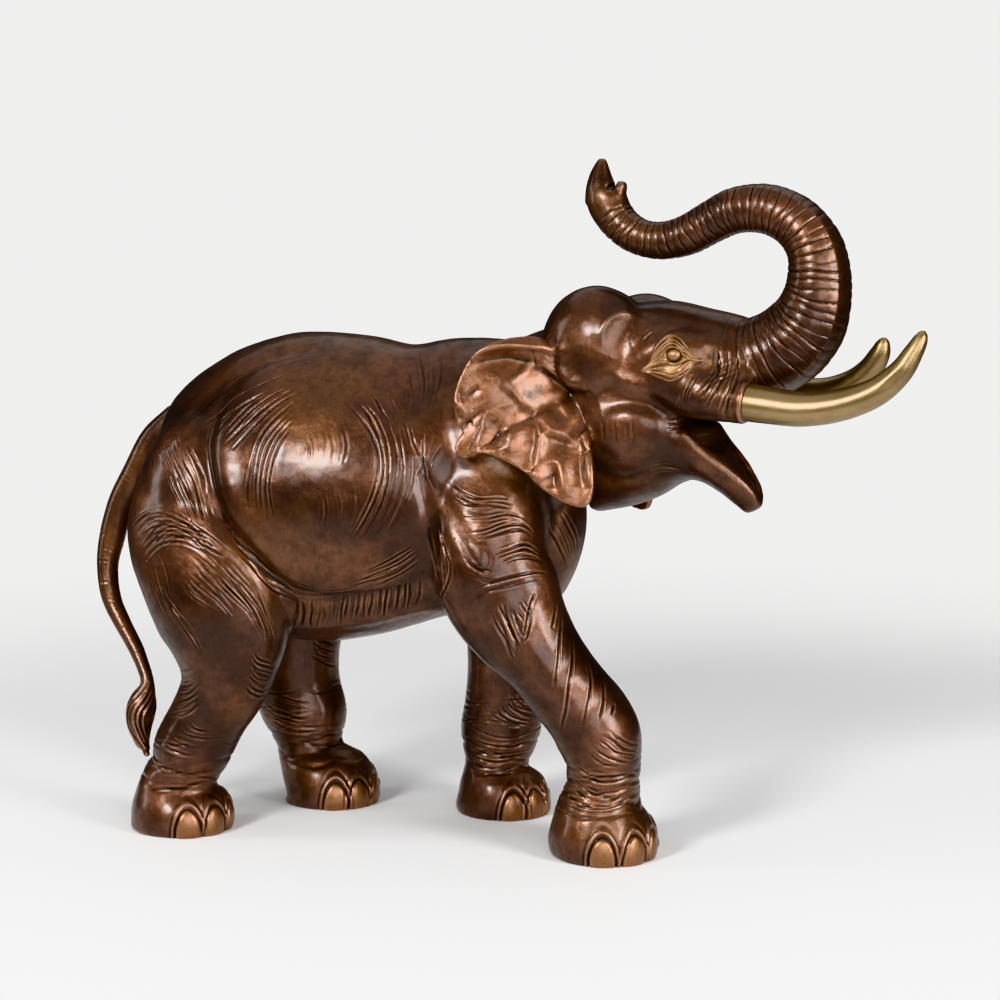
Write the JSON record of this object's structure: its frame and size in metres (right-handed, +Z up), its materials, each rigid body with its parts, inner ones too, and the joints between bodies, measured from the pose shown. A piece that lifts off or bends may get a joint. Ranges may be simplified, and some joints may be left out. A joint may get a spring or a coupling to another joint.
{
  "type": "bronze elephant sculpture",
  "caption": "Cast bronze statue of a walking elephant with its trunk raised in a loop over its head, open mouth, spread ears and brass tusks.",
  "frame": {"origin": "on the ground, under the middle of the whole piece's box", "axes": "+X the way the elephant walks, +Y towards its left side, +Z up"},
  "size_m": [0.8592, 0.2908, 0.6759],
  "materials": {
    "bronze": "dark red-brown patinated bronze, waxed to a gloss, rubbed to copper on the high places",
    "tusk_brass": "polished olive-gold brass, browner underneath"
  },
  "bodies": {
    "root": {"elephant_casting": "bronze", "tusk_right": "tusk_brass", "tusk_left": "tusk_brass"}
  },
  "joints": []
}
